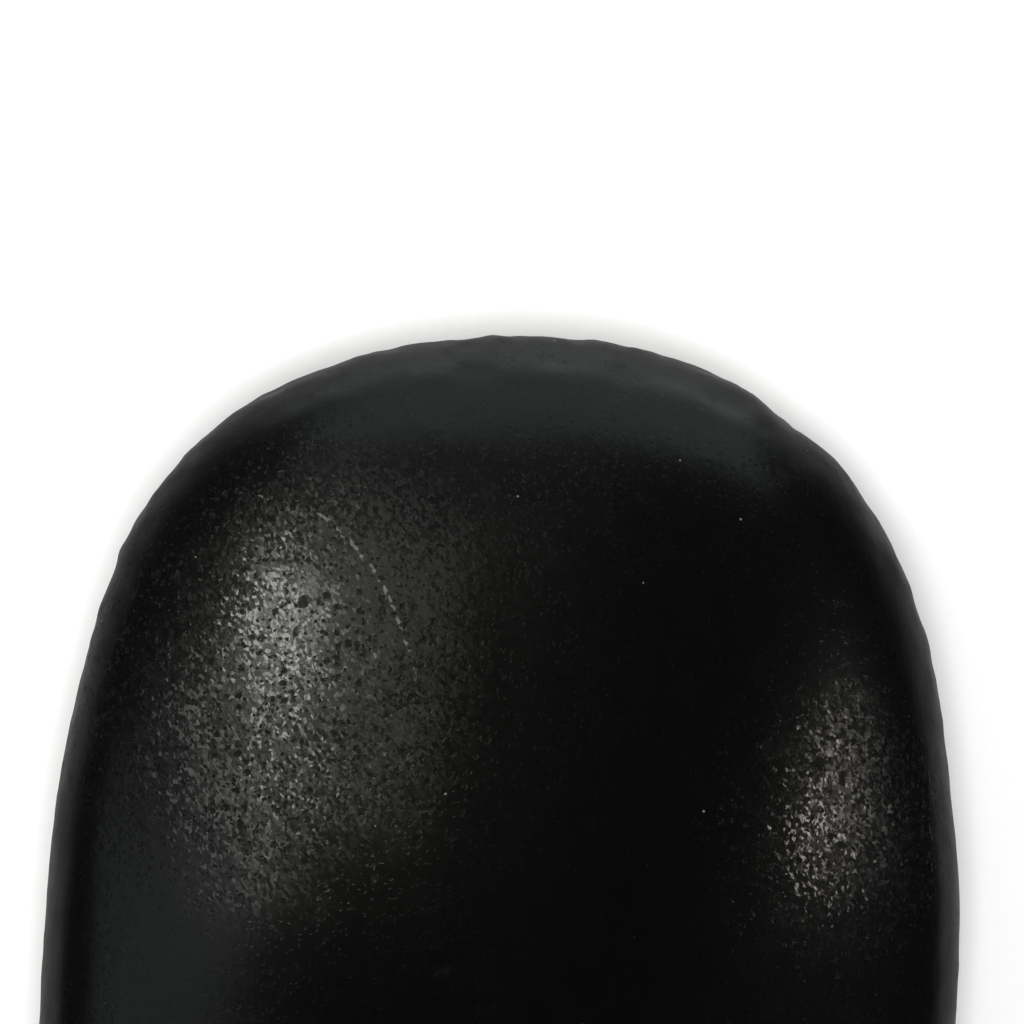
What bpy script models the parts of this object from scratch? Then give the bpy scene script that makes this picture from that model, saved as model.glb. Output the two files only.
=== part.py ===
# Basalt massage stone: one hand-sized worn stone, low domes above and below that turn down into a
# rounded rim, its belly ground flat so that it lies still. Metres, +Z up, long axis along Y, broad
# nose at +Y. The origin is on the resting face, below the middle of the stone.

import math

import bmesh
import bpy
from mathutils import Vector

# Overall sizes
LENGTH = 0.107
WIDTH = 0.070
THICKNESS = 0.030

# Form
BELT_HEIGHT = 0.0145  # the widest level, above the resting face
GROUND_DEPTH = 0.0014  # what grinding took off the round belly to make the resting face
NOSE_SQUARENESS = 2.75  # exponent of the outline at the nose: 2 is an ellipse, more is squarer
TAIL_SQUARENESS = 2.40  # the same at the tail
RIM_HEIGHT = 0.0040  # of the rim's own part of every upright section
RIM_SHARPNESS = 24  # exponent of that part: more turns down nearer the edge

# Slow swells left by wear
SWELL_HEIGHT = 0.00025
SWELL_SPACING = 0.045
SWELL_SLANT = 0.4  # of the lengthwise waves across the stone
SWELL_RUN = (0.8, -0.3, 0.5)  # of the crosswise waves along X, Y and Z
SWELL_SHIFTS = (0.7, -0.4)  # where the two sets of waves start, in radians

# Mesh
FACETS_PER_SIDE = 20  # of the cube that is blown up into the stone; an even number

# Finish: near-black basalt, honed to a dull gloss
STONE_COLOUR = (0.012, 0.013, 0.012, 1.0)
STONE_ROUGHNESS = 0.42


def clear_scene():
    for old in list(bpy.data.objects):
        bpy.data.objects.remove(old, do_unlink=True)


def make_material(name, colour, roughness, metallic):
    material = bpy.data.materials.new(name)
    material.use_nodes = True
    shader = material.node_tree.nodes["Principled BSDF"]
    shader.inputs["Base Color"].default_value = colour
    shader.inputs["Roughness"].default_value = roughness
    shader.inputs["Metallic"].default_value = metallic
    return material


def swell(point):
    """How far wear has left the surface proud (or, below zero, shy) of the plain form there."""
    turn = 2 * math.pi / SWELL_SPACING
    lengthwise = math.sin(turn * (point.y + SWELL_SLANT * point.x) + SWELL_SHIFTS[0])
    crosswise = math.cos(turn * point.dot(Vector(SWELL_RUN)) + SWELL_SHIFTS[1])
    return SWELL_HEIGHT * lengthwise * crosswise


def section_height(share, dome_height):
    """Height over the belt at a share of the way out, 0 in the middle and 1 at the edge.

    A low dome carries a rim, level across most of the stone, that turns down at the edge."""
    rim = math.sqrt(max(1 - share**RIM_SHARPNESS, 0.0))
    return (dome_height - RIM_HEIGHT) * (1 - share**2) + RIM_HEIGHT * rim


def worn_form(direction):
    """The stone's surface for this direction from the middle of its belt.

    The outline is a superellipse, squarer at the nose than at the tail."""
    x, y, z = direction
    squareness = TAIL_SQUARENESS + (NOSE_SQUARENESS - TAIL_SQUARENESS) * (0.5 + 0.5 * y)
    plan = (abs(x) ** squareness + abs(y) ** squareness) ** (1 / squareness)
    if plan < 1e-6:  # straight up or down, where every section meets
        x = plan = 1e-6
    share = math.cos(math.atan2(abs(z), plan))
    point = Vector((x / plan * WIDTH / 2, y / plan * LENGTH / 2, 0)) * share
    if z > 0:
        point.z = section_height(share, THICKNESS - BELT_HEIGHT)
    else:
        point.z = -section_height(share, BELT_HEIGHT + GROUND_DEPTH)
    return point + point.normalized() * swell(point)


def fit_to_size(mesh):
    """Stretch the form, swells and all, to the stone's overall sizes before grinding."""
    lowest = [min(vert.co[axis] for vert in mesh.verts) for axis in range(3)]
    highest = [max(vert.co[axis] for vert in mesh.verts) for axis in range(3)]
    low_target = (-WIDTH / 2, -LENGTH / 2, -GROUND_DEPTH)
    high_target = (WIDTH / 2, LENGTH / 2, THICKNESS)
    for vert in mesh.verts:
        for axis in range(3):
            share = (vert.co[axis] - lowest[axis]) / (highest[axis] - lowest[axis])
            vert.co[axis] = low_target[axis] + share * (high_target[axis] - low_target[axis])


def grind_resting_face(mesh):
    """Cut the belly off level at the origin's height and close it with one flat face."""
    everything = mesh.verts[:] + mesh.edges[:] + mesh.faces[:]
    cut = bmesh.ops.bisect_plane(
        mesh, geom=everything, plane_co=(0, 0, 0), plane_no=(0, 0, 1), clear_inner=True
    )
    rim = [item for item in cut["geom_cut"] if isinstance(item, bmesh.types.BMEdge)]
    bmesh.ops.holes_fill(mesh, edges=rim, sides=0)


def build_stone(collection):
    form = bmesh.new()
    bmesh.ops.create_cube(form, size=2)
    bmesh.ops.subdivide_edges(
        form, edges=form.edges[:], cuts=FACETS_PER_SIDE - 1, use_grid_fill=True
    )
    for vert in form.verts:
        vert.co = worn_form(vert.co.normalized())
    fit_to_size(form)
    grind_resting_face(form)
    bmesh.ops.recalc_face_normals(form, faces=form.faces[:])

    mesh = bpy.data.meshes.new("stone")
    form.to_mesh(mesh)
    form.free()
    mesh.shade_smooth()
    mesh.set_sharp_from_angle(angle=math.radians(15))
    mesh.materials.append(make_material("honed basalt", STONE_COLOUR, STONE_ROUGHNESS, 0.0))
    stone = bpy.data.objects.new("stone", mesh)
    collection.objects.link(stone)
    return stone


def main():
    clear_scene()
    collection = bpy.data.collections.new("Basalt massage stone")
    bpy.context.scene.collection.children.link(collection)
    build_stone(collection)


main()
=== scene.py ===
import math

import bpy
import numpy as np
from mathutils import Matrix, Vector


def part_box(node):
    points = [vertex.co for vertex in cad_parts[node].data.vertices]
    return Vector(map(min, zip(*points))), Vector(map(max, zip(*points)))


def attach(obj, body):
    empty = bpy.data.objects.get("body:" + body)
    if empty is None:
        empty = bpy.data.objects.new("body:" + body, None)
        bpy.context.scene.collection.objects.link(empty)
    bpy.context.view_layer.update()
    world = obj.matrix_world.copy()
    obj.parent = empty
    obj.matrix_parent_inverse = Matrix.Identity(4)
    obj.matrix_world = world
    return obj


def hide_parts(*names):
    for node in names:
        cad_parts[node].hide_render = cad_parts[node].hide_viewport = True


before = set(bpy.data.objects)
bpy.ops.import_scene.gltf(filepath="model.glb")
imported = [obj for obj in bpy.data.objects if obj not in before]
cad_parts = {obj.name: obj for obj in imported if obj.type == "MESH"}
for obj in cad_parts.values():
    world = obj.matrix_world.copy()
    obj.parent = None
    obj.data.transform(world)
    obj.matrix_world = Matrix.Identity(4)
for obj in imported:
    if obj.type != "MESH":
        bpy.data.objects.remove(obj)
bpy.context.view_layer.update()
lowCorner, highCorner = (np.array(corner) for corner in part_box("stone"))
millimetre = 0.001

# what makes the stone's shape; lengths in metres
stone = {
    "cells": (128, 196, 72),        # grid cells over the width, length and height
    "noseSquareness": 2.75,         # outline exponent at the nose, 2 is an ellipse
    "tailSquareness": 2.40,         # the same at the tail
    "rimHeight": 0.0040,            # of the rim's own part of each upright section
    "rimSharpness": 24,             # exponent of that part, more turns down nearer the edge
    "beltHeight": 0.0145,           # widest level above the resting face
    "groundDepth": 0.0014,          # taken off the belly by grinding
    "groundEdge": 0.00025,          # how far the ground face's edge is worn round
    "swellHeight": 0.00025,         # slow swells of the whole surface
    "swellSpacing": 0.045,
    "swellSlant": 0.4,              # of the lengthwise waves across the stone
    "swellRun": (0.8, -0.3, 0.5),   # of the crosswise waves along x, y and z
    "swellShifts": (0.7, -0.4),     # where the two sets of waves start, in radians
    "rimBand": 0.0038,              # how far the rougher band reaches above and below the belt
    "rimRoughness": ((0.0045, 0.00008), (0.0021, 0.00014), (0.0011, 0.00011)),  # spacing, height
    "sideCalm": 0.40,               # how rough the long sides are against the ends
    "skinRoughness": ((0.012, 0.00006), (0.0042, 0.000014)),  # the same, everywhere
    # dents and swells round the rim: degrees round from +X, half width in degrees, height
    "rimShapes": (
        (27, 8, -0.00012), (43, 7, 0.00030), (50, 3.5, 0.00024), (66, 3.0, -0.00066),
        (72, 4, -0.00030), (88, 7, 0.00050), (93, 4, 0.00016), (109, 6, -0.00068),
        (127, 6, 0.00050), (133, 4, 0.00020), (144, 4, -0.00012), (131.3, 1.4, -0.00022),
        (201, 9, -0.00016), (228, 6, 0.00022), (246, 3, -0.00026), (281, 9, 0.00020),
        (307, 5, -0.00026), (335, 9, 0.00016),
    ),
    "pitCount": 44,
    "pitRadius": (0.00055, 0.00095),
    "pitSmallness": 2.6,            # more makes large pits rarer
    "pitDepth": 0.16,               # as a share of the pit's radius
    "pitUnevenness": 0.38,          # of the pits' edges
    "pitEdgeSpacing": 0.0009,
    "seeds": {"pits": 7, "rim": 11, "skin": 31, "pitEdges": 53},
}


# Box grid: whole-number places on the six sides of a box, each side a grid of two parameters
def boxGrid(cells):
    sides = []
    for axis in range(3):
        first, second = (axis + 1) % 3, (axis + 2) % 3
        along, across = np.meshgrid(
            np.arange(cells[first]), np.arange(cells[second]), indexing="ij"
        )
        for end in (0, 1):
            turns = ((0, 0), (1, 0), (1, 1), (0, 1)) if end else ((0, 0), (0, 1), (1, 1), (1, 0))
            corners = np.empty(along.shape + (4, 3), dtype=np.int64)
            corners[..., axis] = end * cells[axis]
            for corner, (stepAlong, stepAcross) in enumerate(turns):
                corners[..., corner, first] = along + stepAlong
                corners[..., corner, second] = across + stepAcross
            sides.append(corners.reshape(-1, 4, 3))
    corners = np.concatenate(sides)
    rowLength, layerSize = cells[2] + 1, (cells[1] + 1) * (cells[2] + 1)
    keys = corners[..., 0] * layerSize + corners[..., 1] * rowLength + corners[..., 2]
    kept, firstUse, index = np.unique(keys.ravel(), return_index=True, return_inverse=True)
    return corners.reshape(-1, 3)[firstUse], index.reshape(-1, 4)


# Lattice noise: random values at the corners of cells, blended across each cell by 3t^2 - 2t^3
def latticeNoise(points, spacing, seed):
    table = np.random.default_rng(seed).uniform(-1, 1, (64, 64, 64))
    scaled = points / spacing
    cell = np.floor(scaled).astype(np.int64)
    ease = (scaled - cell) ** 2 * (3 - 2 * (scaled - cell))
    total = np.zeros(len(points))
    for corner in np.ndindex(2, 2, 2):
        at = (cell + corner) % 64
        weight = np.prod(np.where(corner, ease, 1 - ease), axis=1)
        total += weight * table[at[:, 0], at[:, 1], at[:, 2]]
    return total


# Section: height over the belt at a share u of the way out, a low dome (1 - u^2) on which a rim
# sqrt(1 - u^m) turns down smoothly
def sectionHeight(share, domeHeight):
    rim = np.sqrt(np.maximum(1 - share ** stone["rimSharpness"], 0))
    return (domeHeight - stone["rimHeight"]) * (1 - share**2) + stone["rimHeight"] * rim


# Worn form: outline is |x|^n + |y|^n = 1 with n easing from tail to nose, stretched to the half
# sizes; a direction's climb sets how far out the point lies, and its section gives the height
def wornForm(direction, halfSizes, crown, belly):
    n = stone["tailSquareness"] + (stone["noseSquareness"] - stone["tailSquareness"]) * (
        0.5 + 0.5 * direction[:, 1]
    )
    flat = direction[:, :2] + (1e-6, 0)
    plan = (np.abs(flat) ** n[:, None]).sum(axis=1) ** (1 / n)
    share = np.cos(np.arctan2(np.abs(direction[:, 2]), plan))
    points = np.zeros_like(direction)
    points[:, :2] = flat / plan[:, None] * halfSizes * share[:, None]
    points[:, 2] = np.where(
        direction[:, 2] > 0, sectionHeight(share, crown), -sectionHeight(share, belly)
    )
    return points


# Vertex normals: each quad's area vector, half the cross product of its diagonals, added up
def normalsOf(points, quads):
    a, b, c, d = (points[quads[:, k]] for k in range(4))
    area = np.cross(c - a, d - b)
    total = np.zeros_like(points)
    for k in range(4):
        np.add.at(total, quads[:, k], area)
    return total / np.linalg.norm(total, axis=1, keepdims=True)


# Swell: sine along the stone times cosine across it, one wave for each spacing
def swell(points):
    turn = 2 * math.pi / stone["swellSpacing"]
    startAlong, startAcross = stone["swellShifts"]
    along = points[:, 1] + stone["swellSlant"] * points[:, 0]
    across = points @ np.array(stone["swellRun"])
    return stone["swellHeight"] * np.sin(turn * along + startAlong) * np.cos(
        turn * across + startAcross
    )


# Rim: dents and swells as e^(-t^2) bells round the rim, and noise that grows towards the ends
# with the square of the way there, all fading by e^(-h^2)
def rimWear(points):
    turnAt = np.degrees(np.arctan2(points[:, 1], points[:, 0]))
    band = np.exp(-((points[:, 2] / stone["rimBand"]) ** 2))
    wear = np.zeros(len(points))
    for middle, halfWidth, height in stone["rimShapes"]:
        off = (turnAt - middle + 180) % 360 - 180
        wear += height * np.exp(-((off / halfWidth) ** 2))
    toEnd = np.clip(np.abs(points[:, 1]) / highCorner[1], 0, 1) ** 2
    calm = stone["sideCalm"] + (1 - stone["sideCalm"]) * toEnd
    for seed, (spacing, height) in enumerate(stone["rimRoughness"], stone["seeds"]["rim"]):
        wear += calm * height * latticeNoise(points, spacing, seed)
    return wear * band


# Skin: low uneven wear everywhere
def skinWear(points):
    return sum(
        height * latticeNoise(points, spacing, seed)
        for seed, (spacing, height) in enumerate(stone["skinRoughness"], stone["seeds"]["skin"])
    )


# Pits: bowls (1 - t^2)^2 with an uneven edge, at seeded places
def pitWear(points):
    draw = np.random.default_rng(stone["seeds"]["pits"])
    centres = points[draw.choice(len(points), stone["pitCount"], replace=False)]
    small, large = stone["pitRadius"]
    radii = small + (large - small) * draw.random(stone["pitCount"]) ** stone["pitSmallness"]
    edge = latticeNoise(points, stone["pitEdgeSpacing"], stone["seeds"]["pitEdges"])
    wear = np.zeros(len(points))
    for centre, radius in zip(centres, radii):
        away = np.linalg.norm(points - centre, axis=1) / radius
        bowl = np.clip(1 - (away * (1 + stone["pitUnevenness"] * edge)) ** 2, 0, 1) ** 2
        wear = np.minimum(wear, -stone["pitDepth"] * radius * bowl)
    return wear


# Fit: each axis stretched so that the lowest and highest points meet their targets
def stretchTo(points, lowTarget, highTarget):
    lowest = points.min(axis=0)
    highest = points.max(axis=0)
    return lowTarget + (points - lowest) / (highest - lowest) * (highTarget - lowTarget)


# Grinding: heights below zero become zero, with the edge rounded by (z + k)^2 / 4k
def grind(points):
    k = stone["groundEdge"]
    z = points[:, 2]
    points[:, 2] = np.where(z < -k, 0, np.where(z > k, z, (z + k) ** 2 / (4 * k)))
    return points


# A smooth mesh from points and quads, put into the scene
def meshFrom(name, points, quads):
    mesh = bpy.data.meshes.new(name)
    mesh.from_pydata(points, [], quads)
    mesh.shade_smooth()
    made = bpy.data.objects.new(name, mesh)
    bpy.context.scene.collection.objects.link(made)
    return made


# The stone: a box grid bent round, each angle's tangent evening out the cells, then shaped, worn
# along the normals, fitted and ground
def makeStone():
    cells = stone["cells"]
    lattice, quads = boxGrid(cells)
    spread = np.tan((lattice / np.array(cells) * 2 - 1) * math.pi / 4)
    direction = spread / np.linalg.norm(spread, axis=1, keepdims=True)
    size = highCorner - lowCorner
    crown = size[2] - stone["beltHeight"]
    belly = stone["beltHeight"] + stone["groundDepth"]
    points = wornForm(direction, size[:2] / 2, crown, belly)
    for wearOf in (swell, rimWear, skinWear, pitWear):
        points = points + normalsOf(points, quads) * wearOf(points)[:, None]
    bottom = lowCorner - (0, 0, stone["groundDepth"])
    points = grind(stretchTo(points, bottom, highCorner))
    made = meshFrom("basalt_stone", points, quads)
    print("stone:", len(points), "points,", 2 * len(quads), "triangles")
    return made


# One shader node; an input is a value or another node's socket
def addNode(tree, kind, place, inputs=None, **settings):
    made = tree.nodes.new("ShaderNode" + kind)
    made.location = (place[0] * 200, place[1] * -220)
    for name, value in settings.items():
        setattr(made, name, value)
    for key, value in (inputs or {}).items():
        if isinstance(value, bpy.types.NodeSocket):
            tree.links.new(value, made.inputs[key])
        else:
            made.inputs[key].default_value = value
    return made


# An empty node group with named sockets
def newGroup(name, inputs, outputs):
    tree = bpy.data.node_groups.new(name, "ShaderNodeTree")
    for label, kind, value in inputs:
        socket = tree.interface.new_socket(label, in_out="INPUT", socket_type="NodeSocket" + kind)
        socket.default_value = value
    for label, kind in outputs:
        tree.interface.new_socket(label, in_out="OUTPUT", socket_type="NodeSocket" + kind)
    return tree, tree.nodes.new("NodeGroupInput").outputs, tree.nodes.new("NodeGroupOutput")


def placeGroup(tree, group, place, inputs):
    return addNode(tree, "Group", place, inputs, node_tree=group).outputs


def calculate(tree, place, operation, *values):
    return addNode(tree, "Math", place, dict(enumerate(values)), operation=operation).outputs[0]


def vectorOf(tree, place, operation, first, second):
    slots = {0: first, 3 if operation == "SCALE" else 1: second}
    return addNode(tree, "VectorMath", place, slots, operation=operation).outputs["Vector"]


def measure(tree, place, operation, first, second):
    slots = {0: first, 1: second}
    return addNode(tree, "VectorMath", place, slots, operation=operation).outputs["Value"]


# Fade: a step from one result to another while the value goes between two limits
def fade(tree, place, value, limits, results=(0.0, 1.0), shape="SMOOTHSTEP"):
    inputs = {"Value": value, "From Min": limits[0], "From Max": limits[1],
              "To Min": results[0], "To Max": results[1]}
    return addNode(tree, "MapRange", place, inputs, interpolation_type=shape).outputs[0]


# Sum: each term is a socket and what it is multiplied by
def sumOf(tree, place, *terms):
    total = 0.0
    for step, (socket, factor) in enumerate(terms):
        total = calculate(tree, (place[0] + step, place[1]), "MULTIPLY_ADD", socket, factor, total)
    return total


# Largest: the highest of several masks at each place
def largestOf(tree, place, masks):
    largest = masks[0]
    for row, mask in enumerate(masks[1:]):
        largest = calculate(tree, (place[0], place[1] + row), "MAXIMUM", largest, mask)
    return largest


def noiseAt(tree, place, position, settings):
    return addNode(tree, "TexNoise", place, {"Vector": position, **settings}).outputs


# Warp: a position pushed about by centred noise
def warp(tree, place, position, settings, amount):
    column, row = place
    shake = noiseAt(tree, (column, row + 1), position, settings)["Color"]
    centred = vectorOf(tree, (column + 1, row + 1), "SUBTRACT", shake, (0.5, 0.5, 0.5))
    shift = vectorOf(tree, (column + 2, row + 1), "SCALE", centred, amount)
    return vectorOf(tree, (column + 3, row), "ADD", position, shift)


def mixColour(tree, place, share, first, second):
    mixed = addNode(tree, "Mix", place, {0: share, 6: first, 7: second}, data_type="RGBA")
    return mixed.outputs[2]


def newMaterial(name):
    material = bpy.data.materials.new(name)
    material.use_nodes = True
    tree = material.node_tree
    shader = tree.nodes["Principled BSDF"]
    shader.location = (2600, 0)
    tree.nodes["Material Output"].location = (2900, 0)
    return material, tree, shader


# the stone's finish; heights in millimetres, lengths in metres, spacings as cells per metre, and
# noise by its scale per metre, or per cell for the grains and pits
basalt = {
    "rockColour": (0.0028, 0.0031, 0.0026, 1),
    "paleColour": (0.0044, 0.0046, 0.0040, 1),
    # painted shade for the pits' hollows, a little darker than the rock
    "pitShadeColour": (0.0020, 0.0020, 0.0018, 1),
    "fleckColour": (0.20, 0.20, 0.18, 1),
    "scuffColour": (0.13, 0.13, 0.12, 1),
    "polish": 0.15,                 # roughness of the bare rock, before what the next four add
    "cloudRoughness": 0.04,
    "grainRoughness": 0.11,
    "rimRoughness": 0.30,
    "pitRoughness": 0.38,
    "film": 0.30,                   # how much of a softer film lies on the rock
    "filmRoughness": 0.30,
    "pitFilmLoss": 0.6,
    "clouds": {"Scale": 420, "Detail": 3.0, "Roughness": 0.6},
    "cloudPull": 1.6,               # how much the clouds decide where grains lie dull
    "grains": (2900, 4300, 4300),   # along and across the grain
    "grainTurn": (0.25, 0.15, math.radians(58)),
    "grainUnevenness": 0.8,
    "grainNoise": {"Scale": 0.8, "Detail": 1.0},
    "facetHeight": 0.034,
    "dullGrains": (1.15, 1.55),     # chance and clouds together: where dullness starts, is full
    # spacing, share of cells that hold one, reach in cells, unevenness
    "pits": ((2300, 0.45, 0.36, 0.8), (1250, 0.40, 0.38, 0.8), (520, 0.13, 0.32, 0.8)),
    "flecks": (420, 0.24, 0.055, 0.1),
    "pitNoise": {"Scale": 2.3, "Detail": 2.0},
    "pitFloor": 0.35,               # the share of a pit's reach that is at full depth
    "pitHeight": 0.035,
    "rim": (0.0060, 0.0034),        # off the belt: where the rougher rim starts and is full
    # where the skin is worn open: middle and reach; elsewhere grain and pits are mostly closed
    "openPatches": (((-0.0190, 0.0265, 0.026), 0.020), ((-0.0155, 0.0355, 0.025), 0.014),
                    ((0.0252, 0.0180, 0.025), 0.013)),
    "patchCore": 0.4,               # the share of a patch's reach that is wide open
    "closedGrain": 0.18,
    "scuffWander": {"Scale": 700.0, "Detail": 2.0},
    "scuffWanderWidth": 0.0006,
    "scuffBreaks": {"Scale": 1900.0, "Detail": 2.0},
    "scuffKept": (0.50, 0.58),      # noise over this leaves a mark
    "scuffFullness": 3.0,           # more keeps a scuff whole until nearer its ends
    "scuffs": (
        {"Centre": (-0.0259, 0.0237, 0), "Radius": 0.0195, "Middle": (-0.0100, 0.0352, 0),
         "Half Length": 0.0098, "Half Width": 0.00019},
        {"Centre": (-0.0160, 0.0480, 0), "Radius": 0.0080, "Middle": (-0.0190, 0.0406, 0),
         "Half Length": 0.0016, "Half Width": 0.00009},
    ),
}


# Open pits: uneven holes scattered through the rock, cut wherever the surface meets them, each
# with a sloping side and a floor
def openPitsGroup():
    tree, given, result = newGroup(
        "openPits",
        (("Position", "Vector", (0, 0, 0)), ("Per Metre", "Float", 1000), ("Share", "Float", 0.5),
         ("Reach", "Float", 0.35), ("Unevenness", "Float", 0.4)),
        (("Mask", "Float"),),
    )
    scaled = vectorOf(tree, (1, 0), "SCALE", given["Position"], given["Per Metre"])
    warped = warp(tree, (2, 0), scaled, basalt["pitNoise"], given["Unevenness"])
    cells = addNode(tree, "TexVoronoi", (6, 0), {"Vector": warped, "Scale": 1.0}).outputs
    deepest = calculate(tree, (6, 2), "MULTIPLY", given["Reach"], basalt["pitFloor"])
    bowl = fade(tree, (7, 0), cells["Distance"], (given["Reach"], deepest))
    chance = addNode(tree, "SeparateColor", (7, 2), {0: cells["Color"]}).outputs[0]
    holds = calculate(tree, (8, 2), "LESS_THAN", chance, given["Share"])
    mask = calculate(tree, (9, 0), "MULTIPLY", bowl, holds)
    tree.links.new(mask, result.inputs["Mask"])
    return tree


# Grains: cells drawn out along one direction of the rock, each a facet that leans by chance
def grainsGroup():
    tree, given, result = newGroup(
        "grains",
        (("Position", "Vector", (0, 0, 0)), ("Turn", "Vector", (0, 0, 0)),
         ("Per Metre", "Vector", (1000, 1000, 1000)), ("Unevenness", "Float", 0.5)),
        (("Facet", "Float"), ("Chance", "Float")),
    )
    turned = addNode(tree, "Mapping", (0, 0), {
        "Vector": given["Position"], "Rotation": given["Turn"],
    }).outputs[0]
    scaled = vectorOf(tree, (1, 0), "MULTIPLY", turned, given["Per Metre"])
    warped = warp(tree, (2, 0), scaled, basalt["grainNoise"], given["Unevenness"])
    cells = addNode(tree, "TexVoronoi", (6, 0), {"Vector": warped, "Scale": 1.0}).outputs
    offset = vectorOf(tree, (7, 0), "SUBTRACT", warped, cells["Position"])
    lean = vectorOf(tree, (7, 1), "SUBTRACT", cells["Color"], (0.5, 0.5, 0.5))
    facet = measure(tree, (8, 0), "DOT_PRODUCT", offset, lean)
    chance = addNode(tree, "SeparateColor", (8, 1), {0: cells["Color"]}).outputs[1]
    tree.links.new(facet, result.inputs["Facet"])
    tree.links.new(chance, result.inputs["Chance"])
    return tree


# Scuff: a thin arc seen from above, a ring of the given radius kept near its middle; noise makes
# it wander to either side and breaks it into marks
def scuffGroup():
    tree, given, result = newGroup(
        "scuff",
        (("Position", "Vector", (0, 0, 0)), ("Centre", "Vector", (0, 0, 0)),
         ("Radius", "Float", 0.02), ("Middle", "Vector", (0, 0, 0)),
         ("Half Length", "Float", 0.008), ("Half Width", "Float", 0.0001)),
        (("Mask", "Float"),),
    )
    flat = vectorOf(tree, (1, 0), "MULTIPLY", given["Position"], (1, 1, 0))
    wander = noiseAt(tree, (2, 1), flat, basalt["scuffWander"])[0]
    width = basalt["scuffWanderWidth"]
    drift = calculate(tree, (3, 1), "MULTIPLY_ADD", wander, width, -width / 2)
    out = measure(tree, (2, 0), "DISTANCE", flat, given["Centre"])
    off = calculate(tree, (3, 0), "SUBTRACT", out, given["Radius"])
    gap = calculate(tree, (5, 0), "ABSOLUTE", calculate(tree, (4, 0), "ADD", off, drift))
    line = fade(tree, (6, 0), gap, (given["Half Width"], 0.0), shape="LINEAR")
    reach = measure(tree, (5, 1), "DISTANCE", flat, given["Middle"])
    ends = fade(tree, (6, 1), reach, (given["Half Length"], 0.0),
                (0.0, basalt["scuffFullness"]), shape="LINEAR")
    breaks = noiseAt(tree, (5, 2), flat, basalt["scuffBreaks"])[0]
    kept = fade(tree, (6, 2), breaks, basalt["scuffKept"], shape="LINEAR")
    both = calculate(tree, (7, 0), "MULTIPLY", line, ends)
    mask = addNode(tree, "Math", (8, 0), {0: both, 1: kept}, operation="MULTIPLY", use_clamp=True)
    tree.links.new(mask.outputs[0], result.inputs["Mask"])
    return tree


def basaltMaterial(openPits, grains, scuff):
    material, tree, shader = newMaterial("honedBasalt")
    here = addNode(tree, "TexCoord", (0, 0)).outputs["Object"]

    def spotsOf(place, perMetre, share, reach, unevenness):
        return placeGroup(tree, openPits, place, {
            "Position": here, "Per Metre": perMetre, "Share": share, "Reach": reach,
            "Unevenness": unevenness,
        })[0]

    # open skin: 1 in the patches, closed elsewhere
    patches = [basalt["closedGrain"]]
    for row, (middle, reach) in enumerate(basalt["openPatches"]):
        off = measure(tree, (1, 10 + row), "DISTANCE", here, middle)
        patches.append(fade(tree, (2, 10 + row), off, (reach, basalt["patchCore"] * reach),
                            (basalt["closedGrain"], 1.0)))
    openSkin = largestOf(tree, (3, 10), patches)

    # grains: some lie dull, where chance and clouds add up
    grain = placeGroup(tree, grains, (1, 0), {
        "Position": here, "Turn": basalt["grainTurn"], "Per Metre": basalt["grains"],
        "Unevenness": basalt["grainUnevenness"],
    })
    clouds = noiseAt(tree, (1, 1), here, basalt["clouds"])[0]
    patchy = sumOf(tree, (2, 0), (grain["Chance"], 1.0), (clouds, basalt["cloudPull"]))
    dull = calculate(tree, (5, 0), "MULTIPLY",
                     fade(tree, (4, 0), patchy, basalt["dullGrains"]), openSkin)
    facet = calculate(tree, (5, 1), "MULTIPLY", grain["Facet"], openSkin)

    # pits, flecks and scuffs
    holes = [spotsOf((1, 2 + row), *size) for row, size in enumerate(basalt["pits"])]
    pits = calculate(tree, (5, 2), "MULTIPLY", largestOf(tree, (2, 2), holes), openSkin)
    flecks = spotsOf((1, 5), *basalt["flecks"])
    marks = [placeGroup(tree, scuff, (1, 6 + row), {"Position": here, **arc})[0]
             for row, arc in enumerate(basalt["scuffs"])]
    scuffs = largestOf(tree, (2, 6), marks)

    # rim: how near the place is to the belt, above or below
    height = addNode(tree, "SeparateXYZ", (1, 8), {0: here}).outputs[2]
    offBelt = calculate(tree, (2, 8), "SUBTRACT", height, lowCorner[2] + stone["beltHeight"])
    rim = fade(tree, (4, 8), calculate(tree, (3, 8), "ABSOLUTE", offBelt), basalt["rim"])

    colour = mixColour(tree, (6, 0), clouds, basalt["rockColour"], basalt["paleColour"])
    # painted shade: the base colour is darkened in the pits, standing in for the shade in their
    # hollows, most where the skin is open
    colour = mixColour(tree, (7, 0), pits, colour, basalt["pitShadeColour"])
    colour = mixColour(tree, (8, 0), flecks, colour, basalt["fleckColour"])
    colour = mixColour(tree, (9, 0), scuffs, colour, basalt["scuffColour"])
    tree.links.new(colour, shader.inputs["Base Color"])

    added = sumOf(tree, (6, 2), (pits, basalt["pitRoughness"]), (clouds, basalt["cloudRoughness"]),
                  (dull, basalt["grainRoughness"]), (rim, basalt["rimRoughness"]))
    roughness = addNode(tree, "Math", (10, 2), {0: added, 1: basalt["polish"]}, use_clamp=True)
    tree.links.new(roughness.outputs[0], shader.inputs["Roughness"])

    # film: thin in the pits, none on the rim
    solid = calculate(tree, (6, 4), "MULTIPLY_ADD", pits, -basalt["pitFilmLoss"], 1.0)
    inland = calculate(tree, (6, 5), "SUBTRACT", 1.0, rim)
    whole = calculate(tree, (7, 4), "MULTIPLY", solid, inland)
    film = calculate(tree, (8, 4), "MULTIPLY", whole, basalt["film"])
    tree.links.new(film, shader.inputs["Coat Weight"])
    shader.inputs["Coat Roughness"].default_value = basalt["filmRoughness"]

    relief = sumOf(tree, (6, 6), (facet, basalt["facetHeight"]), (pits, -basalt["pitHeight"]))
    bump = addNode(tree, "Bump", (10, 6), {"Strength": 1.0, "Distance": millimetre,
                                           "Height": relief})
    tree.links.new(bump.outputs[0], shader.inputs["Normal"])
    return material


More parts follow.
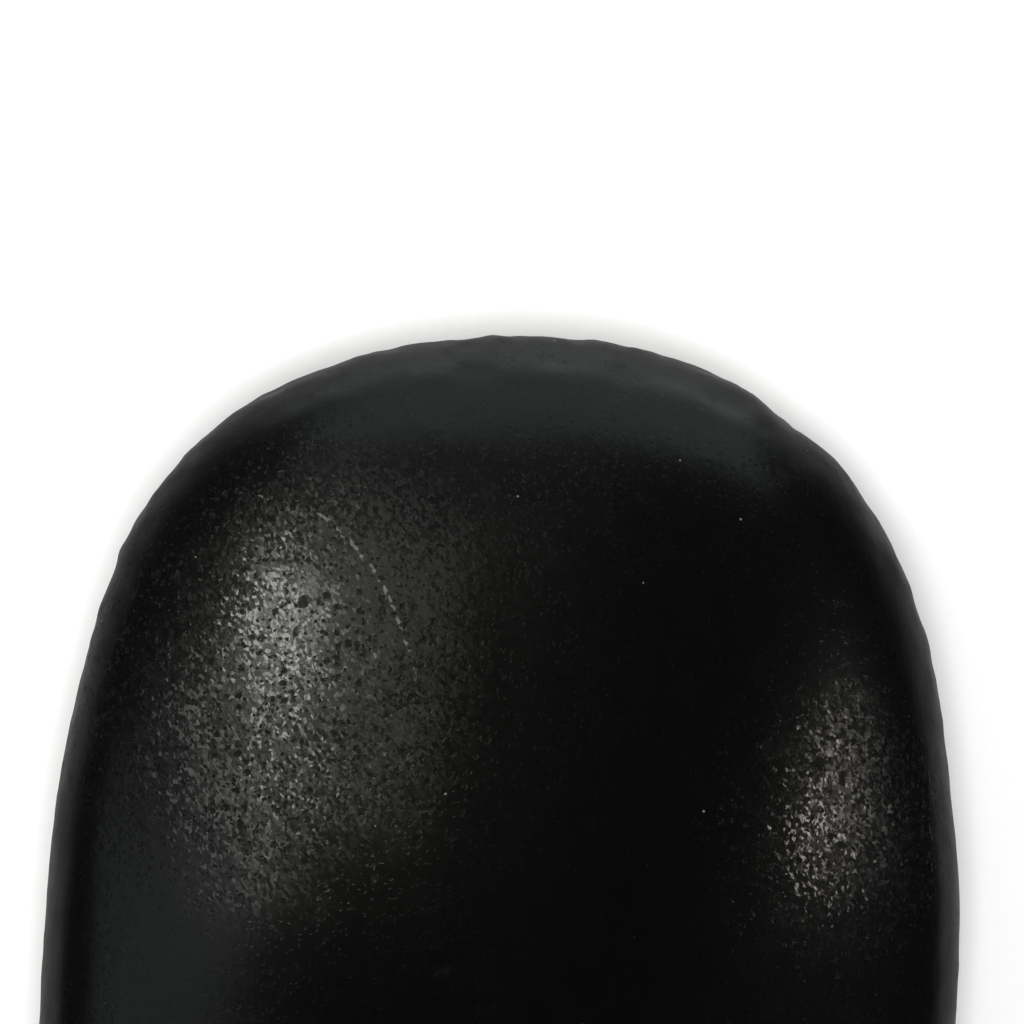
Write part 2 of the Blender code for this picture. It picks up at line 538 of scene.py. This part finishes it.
# the lamps: each looks at the stone from a direction in degrees; sizes in metres, power in watts
room = {
    "key": {"turn": 144, "rise": 50.5, "away": 0.50, "shape": "ELLIPSE", "size": (0.18, 0.08),
            "power": 0.40, "colour": (1.0, 0.99, 0.93), "glossy": True},
    "keyLow": {"turn": 167, "rise": 45, "away": 0.50, "shape": "ELLIPSE", "size": (0.11, 0.11),
               "power": 0.10, "colour": (1.0, 0.99, 0.93), "glossy": True},
    "glow": {"turn": 122, "rise": 57, "away": 0.60, "shape": "ELLIPSE", "size": (0.33, 0.27),
             "power": 0.33, "colour": (1.0, 0.99, 0.93), "glossy": True},
    "side": {"turn": 10, "rise": 37, "away": 0.50, "shape": "ELLIPSE", "size": (0.10, 0.035),
             "power": 0.165, "colour": (1.0, 0.95, 0.91), "glossy": True},
    "far": {"turn": 83, "rise": 23, "away": 0.60, "shape": "RECTANGLE", "size": (0.66, 0.42),
            "power": 0.84, "colour": (0.93, 0.97, 1.0), "glossy": True},
    "wall": {"turn": 87, "rise": -2, "away": 0.60, "shape": "RECTANGLE", "size": (0.74, 0.15),
             "power": 1.5, "colour": (0.95, 0.98, 1.0), "glossy": True},
    "near": {"turn": 186, "rise": 33, "away": 0.60, "shape": "RECTANGLE", "size": (0.22, 0.26),
             "power": 0.11, "colour": (0.90, 0.96, 1.0), "glossy": True},
    "back": {"turn": 300, "rise": 26, "away": 0.60, "shape": "RECTANGLE", "size": (0.80, 0.34),
             "power": 0.50, "colour": (0.97, 0.98, 1.0), "glossy": True},
    "wash": {"turn": 270, "rise": 89.2, "away": 0.90, "shape": "RECTANGLE", "size": (0.36, 0.36),
             "power": 7.0, "colour": (1.0, 1.0, 1.0), "glossy": False},
}


# A lamp on a sphere round the target, facing it
def addLight(name, settings, target):
    light = bpy.data.lights.new(name, "AREA")
    light.shape = settings["shape"]
    light.size, light.size_y = settings["size"]
    light.energy = settings["power"]
    light.color = settings["colour"]
    made = bpy.data.objects.new(name, light)
    turn, rise = math.radians(settings["turn"]), math.radians(settings["rise"])
    way = Vector((math.cos(turn) * math.cos(rise), math.sin(turn) * math.cos(rise),
                  math.sin(rise)))
    made.location = target + way * settings["away"]
    made.rotation_euler = way.to_track_quat("Z", "Y").to_euler()
    made.visible_glossy = settings["glossy"]
    made.visible_camera = False
    bpy.context.scene.collection.objects.link(made)


# the floor; lengths in metres
paper = {
    "reach": 0.11,
    "corners": 96,
    "colours": ((0.86, 0.86, 0.86, 1), (0.88, 0.88, 0.88, 1)),
    "fibres": {"Scale": 900.0, "Detail": 4.0},
    "roughness": 0.9,
    "shine": 0.1,
}


# Paper: pale and matt, with faint fibres
def paperMaterial():
    material, tree, shader = newMaterial("palePaper")
    here = addNode(tree, "TexCoord", (0, 0)).outputs["Object"]
    fibres = noiseAt(tree, (1, 0), here, paper["fibres"])[0]
    tree.links.new(mixColour(tree, (2, 0), fibres, *paper["colours"]), shader.inputs["Base Color"])
    shader.inputs["Roughness"].default_value = paper["roughness"]
    shader.inputs["Specular IOR Level"].default_value = paper["shine"]
    return material


# Floor: a round sheet, far wider than the stone, its corners at cosine and sine of even turns
def makeFloor():
    turns = np.arange(paper["corners"]) * 2 * math.pi / paper["corners"]
    ring = np.stack([np.cos(turns), np.sin(turns), np.zeros(len(turns))], axis=1) * paper["reach"]
    mesh = bpy.data.meshes.new("paper_floor")
    mesh.from_pydata(ring + (0, 0, lowCorner[2]), [], [np.arange(len(turns))])
    made = bpy.data.objects.new("paper_floor", mesh)
    bpy.context.scene.collection.objects.link(made)
    made.data.materials.append(paperMaterial())
    return made


# what the gloss sees past the lamps, by the sine of the climb from level to straight above, and
# what shows behind the stone
surroundings = {
    "dark": ((0.0, (0.03, 0.03, 0.033, 1)), (0.5, (0.05, 0.052, 0.055, 1)),
             (1.0, (0.015, 0.015, 0.015, 1))),
    "backdrop": (0.93, 0.93, 0.93, 1),
}


def makeWorld():
    world = bpy.data.worlds.new("studio")
    bpy.context.scene.world = world
    world.use_nodes = True
    tree = world.node_tree
    tree.nodes.clear()
    way = addNode(tree, "TexCoord", (0, 0)).outputs["Generated"]
    rise = addNode(tree, "SeparateXYZ", (1, 0), {0: way}).outputs[2]
    ramp = addNode(tree, "ValToRGB", (2, 0), {0: rise})
    stops = ramp.color_ramp.elements
    stops.new(0.5)
    for stop, (place, colour) in zip(stops, surroundings["dark"]):
        stop.position, stop.color = place, colour
    seen = addNode(tree, "LightPath", (2, 2)).outputs["Is Camera Ray"]
    unlit = addNode(tree, "Background", (4, 0), {"Color": ramp.outputs[0], "Strength": 1.0})
    pale = addNode(tree, "Background", (4, 1), {
        "Color": surroundings["backdrop"], "Strength": 1.0,
    })
    either = addNode(tree, "MixShader", (5, 0), {
        0: seen, 1: unlit.outputs[0], 2: pale.outputs[0],
    })
    output = addNode(tree, "OutputWorld", (6, 0))
    tree.links.new(either.outputs[0], output.inputs[0])


# the camera looks straight down at the nose end; lengths in metres
camera = {
    "lens": 135,
    "frameWidth": 0.07817,          # what the view spans at the stone's widest level
    "aside": (0.00112, 0.04001),    # the view's middle from the stone's, right and up in it
    "roll": math.radians(1.80),     # anticlockwise, so the stone leans clockwise in the view
    "exposure": 0.12,
    "gamma": 0.74,                  # under 1 deepens the darks
}


def makeCamera():
    data = bpy.data.cameras.new("camera")
    data.lens = camera["lens"]
    made = bpy.data.objects.new("camera", data)
    right, up = camera["aside"]
    turn = camera["roll"]
    middle = (lowCorner + highCorner) / 2
    away = camera["frameWidth"] * data.lens / data.sensor_width
    made.location = (
        middle[0] + right * math.cos(turn) - up * math.sin(turn),
        middle[1] + right * math.sin(turn) + up * math.cos(turn),
        lowCorner[2] + stone["beltHeight"] + away,
    )
    made.rotation_euler = (0, 0, turn)
    bpy.context.scene.collection.objects.link(made)
    bpy.context.scene.camera = made


stonePiece = makeStone()
stonePiece.data.materials.append(basaltMaterial(openPitsGroup(), grainsGroup(), scuffGroup()))
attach(stonePiece, "root")
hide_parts("stone")
print("material: done")

makeFloor()
makeWorld()
for name, settings in room.items():
    addLight(name, settings, Vector((lowCorner + highCorner) / 2))
makeCamera()
look = bpy.context.scene.view_settings
look.view_transform = "Standard"
look.exposure, look.gamma = camera["exposure"], camera["gamma"]
print("room: done")
